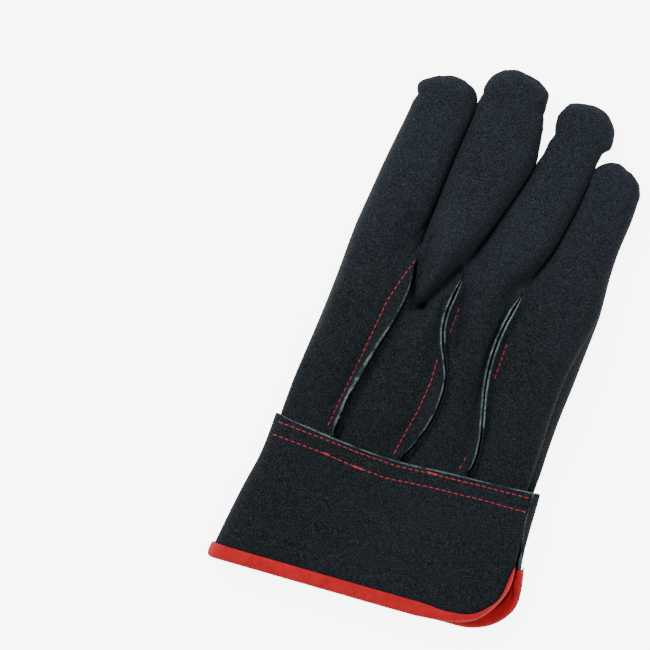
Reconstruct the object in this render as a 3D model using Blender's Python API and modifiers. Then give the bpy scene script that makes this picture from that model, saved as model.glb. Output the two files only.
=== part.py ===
"""Leather work glove for the right hand, lying on its palm with the thumb folded flat underneath.

The glove is cut and sewn from suede: one piece of leather makes the palm and wraps round the index
side into the index back, which is a solid of its own here, three more panels make the backs of the
other fingers, and a thumb, a cuff and a bound cuff edge are sewn on. Every panel is an open sheet
that is given its thickness.
Axes: +Y runs from the cuff to the fingertips, +X to the little finger, +Z up through the back.
"""

import math
from collections import namedtuple

import bmesh
import bpy
import numpy as np
from mathutils import Vector
from mathutils.bvhtree import BVHTree

# Driving sizes, in metres
LEATHER = 0.0014
FIT_GAP = 0.0003
HAND_WIDTH = 0.120
PALM_LENGTH = 0.088
INDEX_LENGTH = 0.085
MIDDLE_LENGTH = 0.0915
RING_LENGTH = 0.089
LITTLE_LENGTH = 0.067
BODY_HEIGHT = 0.030
FINGER_HEIGHT = 0.0175
FIN_HEIGHT = 0.0040
FLAT_FIN_GAP = 0.0005
PANEL_PUFF = 0.0030
FINGER_SEAM_STEP = 0.0018
FINGER_EDGE_GAP = 0.00045
SIDE_SEAM_DROP = 0.0060
CUFF_LENGTH = 0.0645
CUFF_TUCK = 0.0140
CUFF_MOUTH_HEIGHT = 0.0150
CUFF_CORNER_ACROSS = 0.027
CUFF_CORNER_ALONG = 0.032
CUFF_FLARE = 0.0045
CUFF_SEAM_GAP = 0.0005
BINDING_WIDTH = 0.0052
BINDING_TAPE = 0.0008
BINDING_GAP = 0.0006
THUMB_LENGTH = 0.100
THUMB_WIDTH = 0.034
THUMB_HEIGHT = 0.0105
THUMB_ANGLE = math.radians(27)
THUMB_OPENING_LENGTH = 0.038
THUMB_OPENING_WIDTH = 0.022

# Where the thumb leaves the palm, as shares of HAND_WIDTH and PALM_LENGTH
THUMB_ROOT_ACROSS = -0.33
THUMB_ROOT_ALONG = 0.30
# Slope of the palm beside the thumb that it lies on
THUMB_MARGIN = 0.0030
THUMB_SLOPE = 0.0090

# How far the cuff's leather lies above the table, on its binding
CUFF_FLOOR = BINDING_TAPE + BINDING_GAP
# The part of the hand that is tucked into the cuff
TUCK_FLOOR = CUFF_FLOOR + LEATHER + FIT_GAP
TUCK_CROWN_SHARE = 0.50
TUCK_MARGIN = 0.0003

# Share of a finger's height at which its back and palm leathers meet
FINGER_SEAM_SHARE = 0.47
LITTLE_SIDE_SHARE = 0.30
# Shares of the hand's height at which its two sides bulge most
INDEX_SIDE_SHARE = 0.50
PALM_SIDE_SHARE = 0.35
# Shares of a finger's length by which the crotch's seam has rolled over, its two edges have
# turned into the finger's sides, and the crown has come down from the hand's
CROTCH_ROLL_END = 0.16
CROTCH_TURN_END = 0.24
CROTCH_CROWN_END = 0.35
# The panels swell and the side seam drops from the cuff on: their share at the cuff, and the
# share of PALM_LENGTH by which they are whole
PUFF_AT_CUFF = 0.12
PUFF_END = 0.20
SIDE_DROP_AT_CUFF = 0.60
SIDE_DROP_END = 0.30
# The point of the palm leather halfway round the little finger's side, across and up
WRAP_ACROSS = 0.25
WRAP_UP = 0.55
# How far from its oval the thumb opening's stepped edge may lie, in radii
HOLE_EDGE_REACH = 1.7
# Widest rounding of the sections: 2 is an ellipse, more is squarer
SECTION_POWER = 2.6
TIP_POWER = 2.3
TIP_FLAT_SHARE = 0.48

BACK_COLUMNS = 9
PALM_COLUMNS = 6
BODY_ROWS = 13
FINGER_STEPS = 8
TIP_STEPS = (0.40, 0.75, 1.0)

# The hand from the cuff's top edge to the crotches. Along is a share of PALM_LENGTH, the places
# across are shares of HAND_WIDTH from its middle, and the crowns are shares of BODY_HEIGHT.
BodyRow = namedtuple("BodyRow", "along left seam_1 seam_2 seam_3 side right index middle ring little")
BODY = (
    BodyRow(0.00, -0.517, -0.310, -0.038, 0.217, 0.455, 0.483, 0.50, 0.50, 0.50, 0.50),
    BodyRow(0.11, -0.513, -0.308, -0.017, 0.222, 0.460, 0.492, 0.62, 0.63, 0.64, 0.61),
    BodyRow(0.26, -0.504, -0.292, 0.017, 0.213, 0.463, 0.494, 0.76, 0.78, 0.80, 0.74),
    BodyRow(0.43, -0.488, -0.267, 0.025, 0.200, 0.463, 0.502, 0.87, 0.88, 0.93, 0.83),
    BodyRow(0.60, -0.472, -0.239, -0.007, 0.194, 0.472, 0.517, 0.90, 0.88, 0.96, 0.86),
    BodyRow(0.76, -0.460, -0.211, -0.022, 0.203, 0.495, 0.527, 0.86, 0.94, 0.95, 0.83),
    BodyRow(0.89, -0.452, -0.192, -0.008, 0.219, 0.522, 0.537, 0.79, 1.00, 0.90, 0.77),
    BodyRow(1.00, -0.447, -0.185, -0.003, 0.235, 0.538, 0.5425, 0.71, 0.96, 0.82, 0.69),
)

# How the raw seam edges stand: roll 0 is upright, 0.5 is folded flat, and lean is a share of the
# fin's height, to +X, for each of the three back seams.
FinRow = namedtuple("FinRow", "along roll lean_1 lean_2 lean_3")
FINS = (
    FinRow(0.00, 0.5, 0.0, 0.0, 0.0),
    FinRow(0.06, 0.0, 0.1, 0.5, 0.4),
    FinRow(0.25, 0.0, 0.1, 0.6, 0.3),
    FinRow(0.50, 0.0, 0.3, 0.5, -0.3),
    FinRow(0.66, 0.0, 0.6, -0.2, -0.4),
    FinRow(0.88, 0.0, 0.5, -0.3, -0.3),
    FinRow(1.00, 0.5, 0.0, 0.0, 0.0),
)

# How far the palm leather has risen between two fingers towards the back seam
RidgeRow = namedtuple("RidgeRow", "along rise")
RIDGE = (
    RidgeRow(0.00, 0.0),
    RidgeRow(0.76, 0.0),
    RidgeRow(0.87, 0.25),
    RidgeRow(0.95, 0.7),
    RidgeRow(1.00, 1.0),
)
RIDGE_STEEPNESS = 0.8
# Both walls, measured upright where they slope steeply into the crotch
CROTCH_WALLS = 3.3

# Each finger from its crotch to its tip. Along is a share of the finger's length, the places
# across are shares of HAND_WIDTH and the crowns are shares of FINGER_HEIGHT.
FingerRow = namedtuple("FingerRow", "along left right crown")
FINGERS = {
    "index": (
        FingerRow(0.00, -0.447, -0.185, 1.10),
        FingerRow(0.12, -0.441, -0.182, 1.06),
        FingerRow(0.28, -0.423, -0.172, 1.02),
        FingerRow(0.45, -0.406, -0.161, 1.00),
        FingerRow(0.62, -0.385, -0.149, 0.98),
        FingerRow(0.80, -0.361, -0.1285, 0.92),
        FingerRow(0.85, -0.360, -0.125, 0.88),
    ),
    "middle": (
        FingerRow(0.00, -0.185, -0.003, 1.40),
        FingerRow(0.10, -0.180, 0.015, 1.38),
        FingerRow(0.24, -0.171, 0.058, 1.26),
        FingerRow(0.38, -0.162, 0.093, 1.18),
        FingerRow(0.50, -0.1535, 0.127, 1.15),
        FingerRow(0.64, -0.140, 0.155, 1.10),
        FingerRow(0.78, -0.1235, 0.143, 1.02),
        FingerRow(0.86, -0.118, 0.134, 0.95),
    ),
    "ring": (
        FingerRow(0.00, -0.003, 0.235, 1.15),
        FingerRow(0.10, 0.018, 0.262, 1.12),
        FingerRow(0.20, 0.047, 0.299, 1.06),
        FingerRow(0.34, 0.084, 0.324, 1.00),
        FingerRow(0.48, 0.121, 0.347, 0.96),
        FingerRow(0.62, 0.153, 0.358, 0.90),
        FingerRow(0.74, 0.173, 0.374, 0.86),
        FingerRow(0.86, 0.179, 0.400, 0.92),
    ),
    "little": (
        FingerRow(0.00, 0.235, 0.5425, 1.12),
        FingerRow(0.13, 0.264, 0.538, 1.04),
        FingerRow(0.28, 0.304, 0.538, 1.00),
        FingerRow(0.45, 0.327, 0.542, 0.98),
        FingerRow(0.62, 0.349, 0.557, 0.95),
        FingerRow(0.78, 0.361, 0.5625, 0.90),
        FingerRow(0.82, 0.365, 0.562, 0.87),
    ),
}

# Valleys pressed into the back, each a straight crease. Places across are shares of HAND_WIDTH,
# places along are shares of PALM_LENGTH, width and depth are shares of BODY_HEIGHT.
CreaseRow = namedtuple("CreaseRow", "panel across along to_across to_along width depth")
CREASES = (
    CreaseRow("middle", -0.185, 0.93, -0.142, 0.73, 0.12, 0.10),
    CreaseRow("middle", -0.142, 0.73, -0.020, 0.98, 0.15, 0.13),
    CreaseRow("ring", 0.010, 0.98, 0.060, 0.58, 0.13, 0.11),
    CreaseRow("ring", 0.170, 0.30, 0.120, 0.62, 0.20, 0.06),
    CreaseRow("index", -0.250, 0.98, -0.215, 1.25, 0.15, 0.09),
    CreaseRow("index", -0.420, 0.55, -0.330, 0.72, 0.20, 0.05),
    CreaseRow("little", 0.300, 0.80, 0.400, 0.62, 0.18, 0.06),
)

# The cuff from its top edge to its mouth, in shares of CUFF_LENGTH and HAND_WIDTH
CuffRow = namedtuple("CuffRow", "along left flare")
CUFF = (
    CuffRow(0.00, -0.537, 0.00),
    CuffRow(0.22, -0.545, 0.00),
    CuffRow(0.36, -0.565, 0.08),
    CuffRow(0.50, -0.583, 0.30),
    CuffRow(0.64, -0.597, 0.60),
    CuffRow(0.80, -0.612, 0.85),
    CuffRow(1.00, -0.630, 1.00),
)
CUFF_FRONT = 0.478
CUFF_LINES = (0.0, 0.11, 0.22, 0.34, 0.47, 0.60, 0.73, 0.83, 0.92, 1.0)
CUFF_FLAT_STEPS = (0.04, 0.08, 0.13, 0.20, 0.32, 0.50, 0.68, 0.86)
CUFF_ROUND_STEPS = 5
CUFF_SEAM_TURN = math.radians(60)

THUMB_COLUMNS = 20
THUMB_STATIONS = (0.0, 0.04, 0.11, 0.20, 0.30, 0.40, 0.50, 0.60, 0.70, 0.80, 0.89, 0.96, 1.0)

# Finishes: name, colour, roughness
Finish = namedtuple("Finish", "name colour roughness")
SUEDE = Finish("black suede leather", (0.020, 0.026, 0.030), 0.95)
BINDING = Finish("red binding tape", (0.62, 0.012, 0.018), 0.70)


def smoothstep(value):
    """An even rise from 0 to 1, flat at both ends."""
    value = min(1.0, max(0.0, value))
    return value * value * (3.0 - 2.0 * value)


def mix(start, end, share):
    return start + (end - start) * share


def read_row(rows, column, along):
    """A table's column at a place between its rows."""
    places = [row.along for row in rows]
    return float(np.interp(along, places, [getattr(row, column) for row in rows]))


def arch(place, power=SECTION_POWER):
    """Rise of a round section at a place from -1 to 1 across it, flat along its middle."""
    fullness = 1.05
    return min(1.0, fullness * (1.0 - min(1.0, abs(place)) ** power) ** (1.0 / power))


def distance_to_line(x, y, start, end):
    """Distance in plan from a point to a straight line between two points."""
    line = Vector(end) - Vector(start)
    away = Vector((x, y)) - Vector(start)
    share = min(1.0, max(0.0, away.dot(line) / line.length_squared))
    return (away - line * share).length


def thumb_axis():
    """Centres of the thumb's two round ends, in plan."""
    reach = THUMB_LENGTH - THUMB_WIDTH
    root = Vector((THUMB_ROOT_ACROSS * HAND_WIDTH, THUMB_ROOT_ALONG * PALM_LENGTH))
    return root, root + Vector((math.cos(THUMB_ANGLE), math.sin(THUMB_ANGLE))) * reach


def palm_floor(x, y):
    """Height of the palm leather's underside, where it lies on the thumb, the cuff or the table."""
    root, tip = thumb_axis()
    away = distance_to_line(x, y, root, tip) - THUMB_WIDTH / 2 - THUMB_MARGIN
    over_thumb = (THUMB_HEIGHT + FIT_GAP) * smoothstep(1.0 - away / THUMB_SLOPE)
    over_cuff = TUCK_FLOOR * smoothstep(1.0 - (y - LEATHER) / CUFF_TUCK)
    return max(over_thumb, over_cuff)


def press_creases(panel, place, x, y, z):
    """Lower a point of the back where a crease passes, less towards the panel's edges."""
    inside = 1.0 - abs(place) ** 4
    for crease in CREASES:
        if crease.panel != panel:
            continue
        start = (crease.across * HAND_WIDTH, crease.along * PALM_LENGTH)
        end = (crease.to_across * HAND_WIDTH, crease.to_along * PALM_LENGTH)
        away = distance_to_line(x, y, start, end) / (crease.width * BODY_HEIGHT)
        z -= inside * crease.depth * BODY_HEIGHT * math.exp(-away * away)
    return z


Edge = namedtuple("Edge", "x base roll flap lean open")
Station = namedtuple("Station", "y left right crown")


def finger_seam():
    """Height at which the two leathers of a finger meet."""
    return FINGER_HEIGHT * FINGER_SEAM_SHARE


def back_section(panel, station):
    """Points across one back panel, from its left edge to its right edge, seen from above."""
    left, right = station.left, station.right
    middle = (left.x + right.x) / 2
    half = (right.x - left.x) / 2
    points = []
    for k in range(1, BACK_COLUMNS):
        even = -1.0 + 2.0 * (k - 1) / (BACK_COLUMNS - 2)
        rounded = -math.cos(math.pi * (k - 1) / (BACK_COLUMNS - 2))
        side = left if even < 0 else right
        place = mix(even, rounded, side.open)
        rise = mix(1.0 - place * place, arch(place), side.open)
        inset = math.sin(math.pi * side.roll) * side.flap * abs(place)
        x = middle + half * place + (inset if even < 0 else -inset)
        z = mix(side.base, station.crown, rise)
        points.append((x, station.y, press_creases(panel, place, x, station.y, z)))
    return [rim_point(left, points[0], 1.0)] + points + [rim_point(right, points[-1], -1.0)]


def rim_point(edge, base, inward):
    """The raw edge of a panel: above its base on the hand, below it on a finger."""
    rise = edge.flap * math.cos(math.pi * edge.roll)
    lean = edge.lean * edge.flap * (1.0 - 2.0 * min(0.5, edge.roll))
    reach = math.sin(math.pi * edge.roll) * edge.flap
    return (base[0] - inward * reach + lean, base[1], base[2] + rise)


def palm_section(station):
    """Points across one finger's share of the palm leather, from left to right, seen from above."""
    left, right = station.left, station.right
    middle = (left.x + right.x) / 2
    half = (right.x - left.x) / 2
    points = []
    for k in range(PALM_COLUMNS + 1):
        even = -1.0 + 2.0 * k / PALM_COLUMNS
        inner = min(max(k - 1, 0), PALM_COLUMNS - 2)
        rounded = -math.cos(math.pi * inner / (PALM_COLUMNS - 2))
        side = left if even < 0 else right
        place = mix(even, rounded, side.open)
        x = middle + half * place
        floor = palm_floor(x, station.y)
        at_edge = k in (0, PALM_COLUMNS)
        low = max(side.base - (0.0 if at_edge else side.flap * side.open), floor)
        points.append((x, station.y, mix(low, floor, arch(place))))
    return points


def body_edge(number, along, inward):
    """A back panel's edge at one of the three back seams, on the hand."""
    seam = read_row(BODY, "seam_%d" % number, along) * HAND_WIDTH
    roll = read_row(FINS, "roll", along)
    lean = read_row(FINS, "lean_%d" % number, along)
    upright = LEATHER * math.hypot(1.0, lean) * math.cos(math.pi * roll)
    offset = FIT_GAP + upright + FLAT_FIN_GAP * math.sin(math.pi * roll)
    return Edge(seam + inward * offset, valley(number, along), roll, FIN_HEIGHT, lean, 0.0)


NAMES = ("index", "middle", "ring", "little")
LENGTHS = {"index": INDEX_LENGTH, "middle": MIDDLE_LENGTH, "ring": RING_LENGTH,
           "little": LITTLE_LENGTH}


def crown(name, along):
    return read_row(BODY, name, along) * BODY_HEIGHT


def puff(along):
    """How far a back panel swells above its seams."""
    return PANEL_PUFF * mix(PUFF_AT_CUFF, 1.0, smoothstep(along / PUFF_END))


def valley(number, along):
    """Height of the back leather at a seam, below both panels beside it."""
    beside = (crown(NAMES[number - 1], along), crown(NAMES[number], along))
    return min(beside) - puff(along)


def outer_side(name, along):
    """The rounded side of the hand, where index or little back turns down."""
    top = crown(name, along)
    column = "left" if name == "index" else "side"
    x = read_row(BODY, column, along) * HAND_WIDTH
    floor = palm_floor(x, along * PALM_LENGTH)
    if name == "index":
        bulge = mix(floor, top, INDEX_SIDE_SHARE) + FINGER_SEAM_STEP + FINGER_EDGE_GAP
        return Edge(x, bulge, 1.0, FINGER_SEAM_STEP, 0.0, 1.0)
    drop = SIDE_SEAM_DROP * mix(SIDE_DROP_AT_CUFF, 1.0, smoothstep(along / SIDE_DROP_END))
    return Edge(x, top - drop, 1.0, FINGER_SEAM_STEP, 0.0, 1.0)


def hand_alongs():
    """Rows along the hand: two in the cuff, then evenly up to the crotches."""
    tucked = [-CUFF_TUCK / PALM_LENGTH, -CUFF_TUCK / PALM_LENGTH / 2]
    return tucked + [row / (BODY_ROWS - 1) for row in range(BODY_ROWS)]


def finger_stations(name):
    """Shares along a finger, past its crotch, up to the start of its round tip."""
    last = FINGERS[name][-1].along
    return [last * row / FINGER_STEPS for row in range(1, FINGER_STEPS + 1)]


def finger_edges(name, along):
    """Left and right edges of a finger's back panel."""
    rows = FINGERS[name]
    number = NAMES.index(name)
    turned = smoothstep(along / CROTCH_TURN_END)
    seam = finger_seam() + FIT_GAP / 2 + FINGER_SEAM_STEP
    edges = []
    for column, seam_number in (("left", number), ("right", number + 1)):
        x = read_row(rows, column, along) * HAND_WIDTH
        x += FIT_GAP / 2 if column == "left" else -FIT_GAP / 2
        if seam_number in (0, 4):
            start = outer_side(name, 1.0)
            edges.append(start._replace(x=x, base=mix(start.base, seam, turned)))
            continue
        roll = mix(0.5, 1.0, smoothstep(along / CROTCH_ROLL_END))
        flap = mix(FIN_HEIGHT, FINGER_SEAM_STEP, turned)
        base = mix(valley(seam_number, 1.0), seam, turned)
        edges.append(Edge(x, base, roll, flap, 0.0, turned))
    return edges


def finger_crown(name, along):
    own = read_row(FINGERS[name], "crown", along) * FINGER_HEIGHT
    return mix(crown(name, 1.0), own, smoothstep(along / CROTCH_CROWN_END))


def back_rows(name):
    """All the rows of one back panel, from inside the cuff to its fingertip."""
    number = NAMES.index(name)
    rows = []
    for along in hand_alongs():
        left = outer_side(name, along) if number == 0 else body_edge(number, along, 1.0)
        right = outer_side(name, along) if number == 3 else body_edge(number + 1, along, -1.0)
        rows.append(back_section(name, Station(along * PALM_LENGTH, left, right,
                                               crown(name, along))))
    for along in finger_stations(name):
        left, right = finger_edges(name, along)
        station = Station(PALM_LENGTH + along * LENGTHS[name], left, right,
                          finger_crown(name, along))
        rows.append(back_section(name, station))
    return rows + tip_rows(name, rows[-1], finger_seam() + FIT_GAP / 2)


def tip_rows(name, start, seam):
    """The round end of a finger: its last section drawn in, then turned to its seam."""
    tip = PALM_LENGTH + LENGTHS[name]
    y = start[0][1]
    middle = (start[0][0] + start[-1][0]) / 2
    rows = []
    for step in TIP_STEPS:
        rounding = (1.0 - step ** TIP_POWER) ** (1.0 / TIP_POWER)
        narrow = max(TIP_FLAT_SHARE, rounding)
        low = mix(FINGER_SEAM_STEP / FINGER_HEIGHT, 1.0, rounding)
        row = []
        for x, _, z in start:
            height = (z - seam) * low
            if abs(z - seam) >= FINGER_SEAM_STEP * 0.9:
                height = math.copysign(max(abs(height), FINGER_SEAM_STEP), z - seam)
            row.append((middle + (x - middle) * narrow, mix(y, tip, step), seam + height))
        rows.append(row)
    return rows + [[(x, end, seam) for x, end, _ in rows[-1]]]


def palm_edge(number, along):
    """The palm leather's line under a back seam, which rises into the crotch."""
    x = read_row(BODY, "seam_%d" % number, along) * HAND_WIDTH
    floor = palm_floor(x, along * PALM_LENGTH)
    top = valley(number, 1.0) - CROTCH_WALLS * LEATHER - FINGER_EDGE_GAP
    rise = read_row(RIDGE, "rise", along)
    return Edge(x, mix(floor, top, rise), 1.0, FINGER_SEAM_STEP, 0.0, rise * RIDGE_STEEPNESS)


def palm_outer(name, along):
    """The palm leather at the outer side of the hand, where it turns up."""
    if name == "index":
        side = outer_side(name, along)
        return side._replace(base=side.base - FINGER_SEAM_STEP - FINGER_EDGE_GAP)
    x = read_row(BODY, "right", along) * HAND_WIDTH
    floor = palm_floor(x, along * PALM_LENGTH)
    bulge = mix(floor, crown(name, along), PALM_SIDE_SHARE)
    return Edge(x, bulge, 1.0, FINGER_SEAM_STEP, 0.0, 1.0)


def palm_rows(name):
    """Rows of one finger's share of the palm leather, from inside the cuff to the fingertip."""
    number = NAMES.index(name)
    rows = []
    for along in hand_alongs():
        left = palm_outer(name, along) if number == 0 else palm_edge(number, along)
        right = palm_outer(name, along) if number == 3 else palm_edge(number + 1, along)
        row = palm_section(Station(along * PALM_LENGTH, left, right, 0.0))
        if number == 3:
            row += side_wrap(row[-1], outer_side(name, along))
        rows.append(row)
    table = FINGERS[name]
    seam = finger_seam() + FIT_GAP / 2 - FINGER_EDGE_GAP
    for along in finger_stations(name):
        turned = smoothstep(along / CROTCH_TURN_END)
        back_left, back_right = finger_edges(name, along)
        edges = []
        for back, seam_number in ((back_left, number), (back_right, number + 1)):
            if seam_number == 0:
                edges.append(back._replace(base=back.base - back.flap - FINGER_EDGE_GAP))
            elif seam_number == 4:
                low = mix(palm_outer(name, 1.0).base, FINGER_HEIGHT * LITTLE_SIDE_SHARE, turned)
                x = read_row(table, "right", along) * HAND_WIDTH
                edges.append(Edge(x, low, 1.0, FINGER_SEAM_STEP, 0.0, 1.0))
            else:
                edges.append(Edge(back.x, under_rim(back), 1.0, FINGER_SEAM_STEP, 0.0, 1.0))
        row = palm_section(Station(PALM_LENGTH + along * LENGTHS[name], edges[0], edges[1], 0.0))
        if number == 3:
            row += side_wrap(row[-1], back_right)
        rows.append(row)
    return rows + tip_rows(name, rows[-1], seam)


def under_rim(back):
    """Height of the palm leather's edge that meets a back panel's raw edge between fingers."""
    rim = back.base + back.flap * math.cos(math.pi * back.roll)
    return rim - FINGER_EDGE_GAP - CROTCH_WALLS * LEATHER * math.sin(math.pi * back.roll)


def side_wrap(outer, back_edge):
    """Two more points of the palm leather: round the side and up to the back's side seam."""
    top = back_edge.base - back_edge.flap - FIT_GAP
    x = mix(outer[0], back_edge.x, WRAP_ACROSS)
    return [(x, outer[1], mix(outer[2], top, WRAP_UP)), (back_edge.x, outer[1], top)]


def grid_faces(bm, rows, flip=False):
    """A sheet of quads through rows of points."""
    verts = [[bm.verts.new(point) for point in row] for row in rows]
    faces = []
    for low, high in zip(verts, verts[1:]):
        for k in range(len(low) - 1):
            corners = [low[k], low[k + 1], high[k + 1], high[k]]
            faces.append(bm.faces.new(corners[::-1] if flip else corners))
    return faces


def weld(bm):
    bmesh.ops.remove_doubles(bm, verts=bm.verts, dist=0.00001)


def open_thumb_hole(bm, lowest, highest):
    """Cut the oval through which the thumb joins the palm, in the leather between two heights."""
    root, tip = thumb_axis()
    along = (tip - root).normalized()
    across = Vector((-along.y, along.x))
    centre = root + along * (THUMB_OPENING_LENGTH - THUMB_WIDTH) / 2

    def place(co):
        away = Vector((co.x, co.y)) - centre
        return Vector((away.dot(along) / (THUMB_OPENING_LENGTH / 2),
                       away.dot(across) / (THUMB_OPENING_WIDTH / 2)))

    inside = []
    for face in bm.faces:
        middle = face.calc_center_median()
        if lowest < middle.z < highest and place(middle).length < 1.0:
            inside.append(face)
    bmesh.ops.delete(bm, geom=inside, context="FACES")
    rim = []
    for vert in bm.verts:
        share = place(vert.co)
        if not vert.is_boundary or not lowest < vert.co.z < highest or share.length > HOLE_EDGE_REACH:
            continue
        share = share.normalized()
        flat = (centre + along * share.x * THUMB_OPENING_LENGTH / 2
                + across * share.y * THUMB_OPENING_WIDTH / 2)
        vert.co.x, vert.co.y = flat
        rim.append(vert)
    bmesh.ops.remove_doubles(bm, verts=rim, dist=LEATHER)
    bmesh.ops.dissolve_degenerate(bm, edges=bm.edges, dist=LEATHER / 10)


def make_material(finish):
    material = bpy.data.materials.new(finish.name)
    material.use_nodes = True
    shader = material.node_tree.nodes["Principled BSDF"]
    shader.inputs["Base Color"].default_value = (*finish.colour, 1.0)
    shader.inputs["Roughness"].default_value = finish.roughness
    shader.inputs["Metallic"].default_value = 0.0
    return material


def make_leather(name, bm, collection, finish=SUEDE, thickness=LEATHER, inwards=True):
    """Turn a sheet whose faces point outwards into a closed piece with a wall."""
    weld(bm)
    mesh = bpy.data.meshes.new(name)
    bm.to_mesh(mesh)
    bm.free()
    mesh.shade_smooth()
    piece = bpy.data.objects.new(name, mesh)
    piece.data.materials.append(make_material(finish))
    collection.objects.link(piece)
    wall = piece.modifiers.new("wall", "SOLIDIFY")
    wall.thickness = thickness
    wall.offset = -1.0 if inwards else 1.0
    wall.use_even_offset = False
    wall.use_quality_normals = True
    return piece


def make_palm(collection):
    """Palm leather with four finger fronts, turned up at both sides of the hand."""
    bm = bmesh.new()
    for name in NAMES:
        grid_faces(bm, palm_rows(name), flip=True)
    weld(bm)
    open_thumb_hole(bm, 0.0, THUMB_HEIGHT + LEATHER)
    return make_leather("palm", bm, collection)


def make_back(name, collection):
    bm = bmesh.new()
    grid_faces(bm, back_rows(name))
    return make_leather(name + "_back", bm, collection)


def make_thumb(collection):
    """A closed pouch with round ends, open above where it joins the palm."""
    root, tip = thumb_axis()
    along = (tip - root).normalized()
    across = Vector((-along.y, along.x))
    start = root - along * THUMB_WIDTH / 2
    seam = THUMB_HEIGHT / 2
    rows = []
    for share in THUMB_STATIONS:
        distance = share * THUMB_LENGTH
        from_end = min(distance, THUMB_LENGTH - distance) / (THUMB_WIDTH / 2)
        round_share = max(0.0, 1.0 - from_end)
        size = (1.0 - round_share ** TIP_POWER) ** (1.0 / TIP_POWER)
        half = THUMB_WIDTH / 2 * max(TIP_FLAT_SHARE, size)
        rise = seam * max(LEATHER / seam, arch(1.0 - min(1.0, from_end), 2.0))
        row = []
        for k in range(THUMB_COLUMNS + 1):
            turn = 2 * math.pi * k / THUMB_COLUMNS
            lift = math.copysign(arch(math.cos(turn)), math.sin(turn))
            if k in (0, THUMB_COLUMNS // 2, THUMB_COLUMNS):
                lift = 0.0
            flat = start + along * distance + across * half * math.cos(turn)
            row.append((flat.x, flat.y, seam + rise * lift))
        rows.append(row)
    bm = bmesh.new()
    grid_faces(bm, rows)
    weld(bm)
    ends = [edge for edge in bm.edges if edge.is_boundary]
    bmesh.ops.holes_fill(bm, edges=ends)
    bmesh.ops.recalc_face_normals(bm, faces=bm.faces)
    open_thumb_hole(bm, THUMB_HEIGHT * 0.8, THUMB_HEIGHT + LEATHER)
    return make_leather("thumb", bm, collection)


def cuff_loop(y):
    """Points round the cuff at one height: front edge, front, thumb side, palm side, far edge."""
    along = -y / CUFF_LENGTH
    left = read_row(CUFF, "left", along) * HAND_WIDTH
    front = CUFF_FRONT * HAND_WIDTH
    flare = read_row(CUFF, "flare", along)
    tucked = TUCK_CROWN_SHARE * BODY_HEIGHT + FIT_GAP + LEATHER + TUCK_MARGIN
    top = mix(tucked, CUFF_MOUTH_HEIGHT, smoothstep((-y - CUFF_TUCK) / (CUFF_LENGTH - CUFF_TUCK)))
    radius = (top - CUFF_FLOOR) / 2
    middle = CUFF_FLOOR + radius
    right = front - radius * math.cos(CUFF_SEAM_TURN)
    points = []

    def turn_to(centre, start, end, steps):
        for k in range(steps + 1):
            turn = mix(start, end, k / steps)
            points.append([centre + radius * math.cos(turn), y, middle + radius * math.sin(turn)])

    gap_turn = CUFF_SEAM_GAP / 2 / radius
    turn_to(right, CUFF_SEAM_TURN + gap_turn, math.pi / 2, 2)
    for share in CUFF_FLAT_STEPS:
        points.append([mix(right, left + radius, share), y, top])
    turn_to(left + radius, math.pi / 2, 1.5 * math.pi, CUFF_ROUND_STEPS + 1)
    for share in reversed(CUFF_FLAT_STEPS):
        points.append([mix(right, left + radius, share), y, CUFF_FLOOR])
    first = len(points)
    turn_to(right, -math.pi / 2, CUFF_SEAM_TURN - gap_turn, CUFF_ROUND_STEPS + 3)
    reach = radius * 0.5 + radius + CUFF_FLARE
    for k in range(first, len(points)):
        share = (k - first) / (len(points) - 1 - first)
        flat = right + reach * share
        points[k][0] = mix(points[k][0], flat, flare)
        points[k][2] = mix(points[k][2], CUFF_FLOOR + LEATHER * 2 * share ** 3, flare)
    return [Vector(point) for point in points]


def length_along(points):
    steps = [0.0]
    for low, high in zip(points, points[1:]):
        steps.append(steps[-1] + (high - low).length)
    return steps


def cuff_bottoms():
    """How far down each column of the cuff reaches, with round corners beside the slit."""
    steps = length_along(cuff_loop(-CUFF_LENGTH))
    bottoms = []
    for step in steps:
        inside = max(0.0, 1.0 - min(step, steps[-1] - step) / CUFF_CORNER_ACROSS)
        lift = 1.0 - math.sqrt(1.0 - inside * inside)
        bottoms.append(-CUFF_LENGTH + CUFF_CORNER_ALONG * lift)
    return bottoms


def cuff_rows():
    bottoms = cuff_bottoms()
    rows = []
    for line in CUFF_LINES:
        rows.append([cuff_loop(bottom * line)[k] for k, bottom in enumerate(bottoms)])
    return rows


def make_cuff(collection):
    """One strip of leather round the wrist, open in a slit on the little finger's side."""
    bm = bmesh.new()
    grid_faces(bm, cuff_rows())
    bmesh.ops.recalc_face_normals(bm, faces=bm.faces)
    return make_leather("cuff", bm, collection)


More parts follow.
